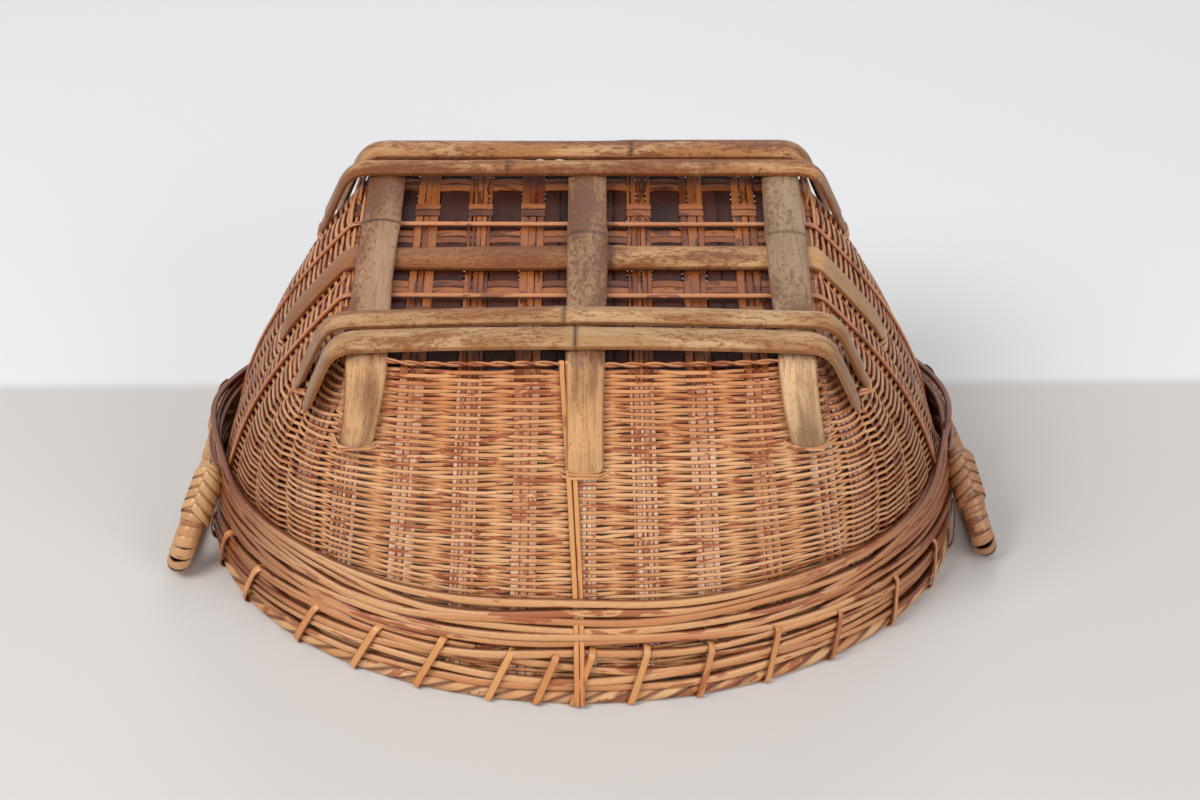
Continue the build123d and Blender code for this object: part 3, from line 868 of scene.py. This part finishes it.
def lashing(bundle, angle, source, lean_share=1.0):
    """A cane strip bound round the foot of the rim: slanting outside, upright inside."""
    top, foot = LASHING_TOP + source.uniform(-2, 3), LASHING_FOOT
    level = np.array([top - 1, top, top - 3, 26.0, 16.0, 7.0, 2.0, foot, foot + 0.5, 12.0,
                      26.0, top - 2])
    offset = np.array([1.0, 5.5, 8.0, 8.4, 8.4, 8.0, 6.6, 2.0, -6.0, -9.4, -9.4, -6.0])
    slant = np.interp(level[:8], [0, LASHING_TOP], [-1, 1]) * 7.5 * lean_share
    slant = np.concatenate([slant, np.linspace(slant[-1], slant[0], 4)])
    middle, along = wall_frame(np.full(12, angle), level, offset)[:2]
    path = middle + along * slant[:, None]
    path[:, 2] = np.maximum(path[:, 2], 0.7)
    path = resampled(rounded(path, 4.0, 1.5), 2.0)
    run = directions(path)
    away = path - (*path[:, :2].mean(axis=0), 18.0)
    away -= np.sum(away * run, axis=1, keepdims=True) * run
    bundle.add(path, unit(away), None, STRIP, 0.6, 2.6, **grain(source, 900))


def lashings():
    """Lashings all round: at listed places along the front and even along the back."""
    bundle = Bundle("rim_lashings_cane")
    source = default_rng(31)
    half_length, half_width = blend(0, 18.0), blend(1, 18.0)
    for x in LASHING_PLACES:
        side = (1 - (x / half_length) ** 2) ** 0.5
        angle = float(np.arctan2(-half_width * side, x)) % (2 * pi)
        lashing(bundle, angle, source, 1.0 if x < 170 else 0.6)
    for number in range(BACK_LASHINGS + 2):
        angle = -0.12 + (pi + 0.24) * number / (BACK_LASHINGS + 1)
        lashing(bundle, angle % (2 * pi), source)
    bundle.made(LASHING, "lashing_cane", ("rim_lashings",), 40)


def inner_hoops():
    """Two flat canes inside the rim, for the lashings to bind against."""
    bundle = Bundle("rim_inner_canes")
    for number, level in enumerate((13.5, 21.0)):
        bundle.add_round(np.linspace(0, 2 * pi, 241), level, -6.2, OVAL, 1.9, 3.7,
                         tone=0.2 + 0.5 * number, start=300.0 * number, pinch=False)
    bundle.made(RIM, "rim_cane", ("rim_inner_hoop",))


def front_rib():
    """Two narrow canes down the front, under some rim canes and over the lowest."""
    bundle = Bundle("front_rib_canes")
    level = np.concatenate([np.linspace(WALL_TOP + 9, 66, 42), np.linspace(62, 3, 22)])
    offset = np.interp(level, [0, 4, 34, 39, 44, 50, 56, 62, 70, 216],
                       [6.5, 8.8, 8.6, 6.4, 4.0, 6.4, 4.0, 1.5, 0.9, 0.9])
    place = -9.0 * (level / WALL_TOP) ** 1.5 - 1.0
    reach = reach_across(place, np.minimum(level, WALL_TOP), False, offset)
    angle = np.arctan2(-reach, place) % (2 * pi)
    middle, along, out, _ = wall_frame(angle, level, offset)
    for number, (shift, half) in enumerate(((-1.9, 1.8), (1.9, 1.65))):
        sway = wander(40 + number, WALL_TOP - level, 50.0, 0.25)
        bundle.add(middle + along * (shift + sway)[:, None], out, along, STRIP, 0.6, half,
                   tone=0.3 + 0.4 * number, start=100.0 * number)
    bundle.made(LASHING, "lashing_cane", ("front_rib",), 40)


# ---- bamboo frame ----
def bar_path(kind, place, width, end):
    """The middle line of a bar's inner face: over the floor and down both walls.

    A pair bar springs straight from its corner to the wall, and the others hug it all
    the way.
    """
    level, bend, along_x = kind
    nearest = max(abs(place) - width / 2, 0.0)
    top = PAIR_TOUCH if kind is PAIR else WALL_TOP
    levels = np.linspace(end, top, int(np.ceil((top - end) / LONGEST_RUN)) + 1)
    reach = reach_across(nearest, levels, along_x) + 0.3
    side = list(zip(reach, levels))
    if kind is PAIR:
        side.append((reach_across(nearest, WALL_TOP, along_x) + PAIR_SPRING, level))
    else:
        slope = (reach[-1] - reach[-2]) / (levels[-1] - levels[-2])
        side[-1] = (reach[-1] + slope * (level - WALL_TOP), level)
    points = [(x, place, z) for x, z in side] + [(-x, place, z) for x, z in reversed(side)]
    return rounded(points, bend, 2.0)


def bar_sides(path):
    """A bar's directions outwards and across."""
    across = np.tile((0.0, 1.0, 0.0), (len(path), 1))
    out = unit(np.cross(directions(path), across))
    return out * np.sign(out[len(out) // 2, 2]), across


def bamboo_bar(kind, name, place, width, end, finish, seed, joint, bow, lean):
    """A split bamboo bar: crowned outside, swollen at its joint, worn along its edges.

    joint is the swelling's place along the bar's own axis. bow moves its middle
    sideways, and lean spreads its turned-down ends, which narrow as they go down.
    """
    level, _, along_x = kind
    path = bar_path(kind, place, width, end)
    drop = np.clip((level - path[:, 2]) / (level - end), 0, 1)
    path[:, 1] += bow * np.clip(1 - (path[:, 0] / 150.0) ** 2, 0, 1) + lean * drop ** 1.5
    length = lengths_along(path)
    out, across = bar_sides(path)
    path[:, 1] += wander(seed, length, 110.0, 0.5)
    gap = length - np.interp(-joint, -path[:, 0], length)
    swelling = np.exp(-(gap / 8.0) ** 2)
    groove = np.exp(-((gap - 1.0) / 1.3) ** 2)
    half = width / 2 + wander(seed + 1, length, 70.0, 0.45) + 0.7 * swelling
    thick = BAR_THICKNESS + 0.5 * swelling - 0.7 * groove + wander(seed + 2, length, 45.0, 0.12)
    from_end = np.minimum(length, length[-1] - length)
    half *= 0.86 + 0.14 * np.sqrt(np.clip(from_end / 4.0, 0, 1))
    half *= 1.04 - 0.12 * drop if kind is CROSS else 1.04
    thick *= 0.4 + 0.6 * np.clip(from_end / 14.0, 0, 1)
    spots = np.linspace(1, -1, 15)
    edge = BAR_EDGE / BAR_THICKNESS
    crown = edge + (1 - edge) * (1 - np.abs(spots) ** 2.2)
    section = [(0.0, -0.97), (0.0, 0.97), *zip(crown, spots)]
    if not along_x:
        path, across, out = swapped(path, across, out)
    bundle = Bundle(f"bar_{name}")
    bundle.add(path, out, across, section, thick, half, tone=(seed % 17) / 17)
    mesh = bundle.made(BAMBOO[finish], "bamboo", (name,), 50).data
    for key, values in (("joint", np.clip(groove, 0, 1)), ("bend", 1 - np.abs(out[:, 2]))):
        kept(mesh, key, np.repeat(padded(values), len(section)))


def bamboo_frame():
    """The bars: kind, name, place, width, end, finish, joint, bow and lean."""
    covers = Bundle("bar_end_covers")
    bars = (
        (LOW, "long_bar_middle", 0.0, 25.0, 160.0, "mixed", 20.7, 0, 0),
        (CROSS, "cross_bar_left", -137.5, 25.5, 168.0, "rosy", 34.0, 0, -9),
        (CROSS, "cross_bar_middle", 3.0, 25.5, 152.0, "grey", 19.0, 0, -1),
        (CROSS, "cross_bar_right", 137.5, 25.5, 168.0, "pale", 19.0, 0, 9),
        (PAIR, "long_bar_front_outer", -116.0, 22.0, 183.0, "straw", -2.7, 5, 0),
        (PAIR, "long_bar_front_inner", -90.0, 18.0, 183.0, "straw", -10.7, 4, 0),
        (PAIR, "long_bar_back_inner", 98.0, 18.0, 183.0, "rusty", -51.5, 0, 0),
        (PAIR, "long_bar_back_outer", 122.5, 22.0, 183.0, "rusty", 34.4, 0, 0))
    for number, (kind, name, place, width, end, finish, joint, bow, lean) in enumerate(bars):
        bamboo_bar(kind, name, place, width, end, finish, 11 + 10 * number, joint, bow, lean)
        for side in (-1, 1):
            bar_end_cover(covers, place + lean, width, end, kind[2], side,
                          50 * number + side + 1)
    covers.made(WEFT, "weft")


def splints():
    """The two thin canes that run over the floor mat and down to the rim."""
    for name, place in (("floor_splint_front", -44.0), ("floor_splint_back", 44.0)):
        path = bar_path(LOW, place, 4.5, SPLINT_FOOT)
        out, across = bar_sides(path)
        path[:, 1] += wander(int(abs(place)) + 3, lengths_along(path), 90.0, 0.8)
        bundle = Bundle(f"{name}_cane")
        bundle.add(path + out * 1.2, out, across, OVAL, 1.5, 2.3, tone=0.4 + place / 200)
        bundle.made(SPLINT, "lashing_cane", (name,))


def edge_twine():
    """A thin twisted cane along the front and back edges, under the outer bars."""
    bundle = Bundle("edge_twine")
    for side, first, last in ((-1, -142, -14), (-1, 14, 128), (1, -142, 140)):
        x = np.linspace(first, last, 2 * int(last - first))
        lift = wander(first + 500, x - first, 40.0, 0.8)
        middle = lined(x, side * reach_across(x, WALL_TOP, False, -1.5), TWINE_LEVEL + lift)
        for strand in range(2):
            turn = x / 4.5 + pi * strand
            bundle.add(middle + lined(0, 0.9 * np.cos(turn), 0.9 * np.sin(turn)), (0, 0, 1.0),
                       (0, 1.0, 0), OVAL, 1.0, 1.0, tone=0.3 * strand + 0.2,
                       start=100.0 * strand)
    bundle.made(WEFT, "weft")


# ---- handles ----
def handle_line(side, shift):
    """A handle's middle line: root, two grip corners and root."""
    ends = []
    for half_span, tuck in ((-ROOT_HALF_SPAN, FRONT_ROOT_TUCK), (ROOT_HALF_SPAN, BACK_ROOT_TUCK)):
        y = shift + half_span
        stand_out = reach_across(y, ROOT_LEVEL, True, 6.9) - tuck
        ends.append((side * (stand_out + 1.05 * (BINDING_RADIUS + 0.3)), y, ROOT_LEVEL))
    grip = [(side * reach, shift + place, GRIP_RADIUS) for reach, place in GRIP_CORNERS]
    return rounded([ends[0], *grip, ends[1]], GRIP_BEND, HANDLE_STEP)


def tube_frame(path):
    """Two directions square to a line, turning as little as possible along it."""
    run = directions(path)
    side = np.empty_like(path)
    side[0] = unit(np.cross(run[0], (1.0, 0.0, 0.0)))
    for k in range(1, len(path)):
        side[k] = unit(side[k - 1] - (side[k - 1] @ run[k]) * run[k])
    return side, np.cross(run, side)


def wound(bundle, path, radius, pitch, width, thick, source):
    """A flat cane wound round a line."""
    length = lengths_along(path)
    wanted = np.linspace(0, length[-1], int(length[-1] / pitch * 26))
    turn = np.interp(wanted, length, 2 * pi * length / pitch)[:, None]
    side, lift = (unit(at_lengths(wanted, length, each)) for each in tube_frame(path))
    out = side * np.cos(turn) + lift * np.sin(turn)
    swell = wander(int(source.integers(1e6)), wanted, 9.0, 0.15)
    line = at_lengths(wanted, length, path) + out * (radius + swell)[:, None]
    bundle.add(line, out, None, STRIP, thick / 2, width / 2, **grain(source, 500))


def herringbone(bundle, root, corner, end, source):
    """The bound root of a leg: crossed strips that meet in a row of chevrons.

    The row faces outwards and away from the handle's middle.
    """
    axis = unit(corner - root)
    outward = unit(np.cross(axis, (0, 1.0, 0)))
    outward *= np.sign(outward[0] * root[0])
    side = np.cross(axis, outward)
    side *= np.sign(side[1]) * (-1 if end == "front" else 1)
    outward, side = 0.5 * outward + 0.87 * side, 0.5 * side - 0.87 * outward
    plug = root + axis * np.linspace(-8.0, 18.0, 6)[:, None]
    bundle.add(plug, outward, side, OVAL, 9.4, 9.4, tone=source.uniform())
    share = np.linspace(-1.0, 1.0, 30)
    out = outward * np.cos(share * 2.4)[:, None] + side * np.sin(share * 2.4)[:, None]
    for number in range(4):
        for way in (-1, 1):
            fall = number * 7.8 + 9.5 * np.abs(share) ** 0.8 + (2.6 if way > 0 else 0)
            slant = fall + way * share * 3.0
            radius = BINDING_RADIUS - 0.9 + 0.5 * way * np.sign(share - 0.02)
            path = root + axis * (slant - 9)[:, None] + out * radius[:, None]
            bundle.add(path, out, None, STRIP, 0.55, 3.0, **grain(source, 500))


def handles():
    for name, side, skin in (("left", -1, WRAP), ("right", 1, WRAP_DARK)):
        source = default_rng(17 + side)
        path = handle_line(side, HANDLE_SHIFT[name])
        grip = Bundle(f"handle_{name}_wound_cane")
        wound(grip, path, GRIP_RADIUS - 0.6, 7.2, 8.5, 1.2, source)
        grip.made(skin, "handle_wrap", (f"handle_{name}_wrap",), 50)
        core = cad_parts[f"handle_{name}_core"].data
        core.materials.clear()
        core.materials.append(CORE)
        for end, root, corner in (("front", path[0], path[50]), ("back", path[-1], path[-50])):
            binding = Bundle(f"handle_{name}_root_{end}")
            leg = rounded([root, root + (corner - root) * 0.55, corner], 1.0, HANDLE_STEP)
            wound(binding, leg[:int(BINDING_LENGTH / HANDLE_STEP)], BINDING_RADIUS - 1.9, 6.4,
                  6.0, 1.1, source)
            herringbone(binding, root, corner, end, source)
            binding.made(skin, "handle_binding", (f"handle_{name}_binding_{end}",), 50)


# ---- stage, lights and camera ----
def stage():
    """A pale table, with a cooler tone beyond its far edge."""
    f = Finish("table")
    x, y, z = f.position()
    beyond = f.fade(f.plus(f.plus(y, f.times(x, -0.008)), 0.337), 0.492, 0.508)
    near = f.over((219, 216, 213), (210, 207, 205), f.noise(x, y, z, 2.0, 0.5, 2.0), 0.25)
    f.finish(f.over(near, (243, 245, 247), beyond), 0.7, sheen=0.2)
    mesh = bpy.data.meshes.new("table")
    mesh.from_pydata([(-4, -4, 0), (4, -4, 0), (4, 4, 0), (-4, 4, 0)], [], [(0, 1, 2, 3)])
    mesh.materials.append(f.material)
    linked("table", mesh)


def lights():
    """Three round lamps that face the basket, and a world dimmer as a light than seen."""
    for name, power, size, place in (("key", 35.0, 1.3, (-1.3, -1.1, 2.0)),
                                     ("fill", 19.5, 1.6, (1.5, -1.7, 1.3)),
                                     ("back", 8.0, 1.4, (0.3, 1.8, 1.9))):
        data = bpy.data.lights.new(name, "AREA")
        data.shape = "DISK"
        data.energy, data.size = power, size
        lamp = linked(name, data)
        lamp.location = x, y, z = place
        lamp.rotation_euler = (float(np.arctan2(hypot(x, y), z - LAMP_AIM)), 0,
                               float(np.arctan2(y, x)) + pi / 2)
    world = bpy.data.worlds.new("studio")
    bpy.context.scene.world = world
    world.use_nodes = True
    tree = world.node_tree
    background = tree.nodes["Background"].inputs
    background["Color"].default_value = (1, 1, 1, 1)
    rays = tree.nodes.new("ShaderNodeLightPath").outputs
    seen = rays["Is Camera Ray"]
    for kind in ("Is Glossy Ray", "Is Transmission Ray"):
        either = tree.nodes.new("ShaderNodeMath")
        either.operation = "MAXIMUM"
        tree.links.new(seen, either.inputs[0])
        tree.links.new(rays[kind], either.inputs[1])
        seen = either.outputs[0]
    strength = tree.nodes.new("ShaderNodeMapRange")
    strength.inputs["To Min"].default_value = 0.42
    strength.inputs["To Max"].default_value = 1.0
    tree.links.new(seen, strength.inputs["Value"])
    tree.links.new(strength.outputs["Result"], background["Strength"])


def camera():
    data = bpy.data.cameras.new("camera")
    data.lens = 84
    data.sensor_width = 36
    thing = linked("camera", data)
    thing.location = (0.0119, -1.582, 1.252)
    thing.rotation_euler = (radians(54), 0, 0)
    bpy.context.scene.camera = thing
    bpy.context.scene.view_settings.view_transform = "Standard"


camera()
lights()
stage()
woven_weft()
shoulder_weft()
stakes_and_mat()
rim_canes()
end_canes()
edge_rope()
lashings()
inner_hoops()
front_rib()
bamboo_frame()
splints()
edge_twine()
handles()
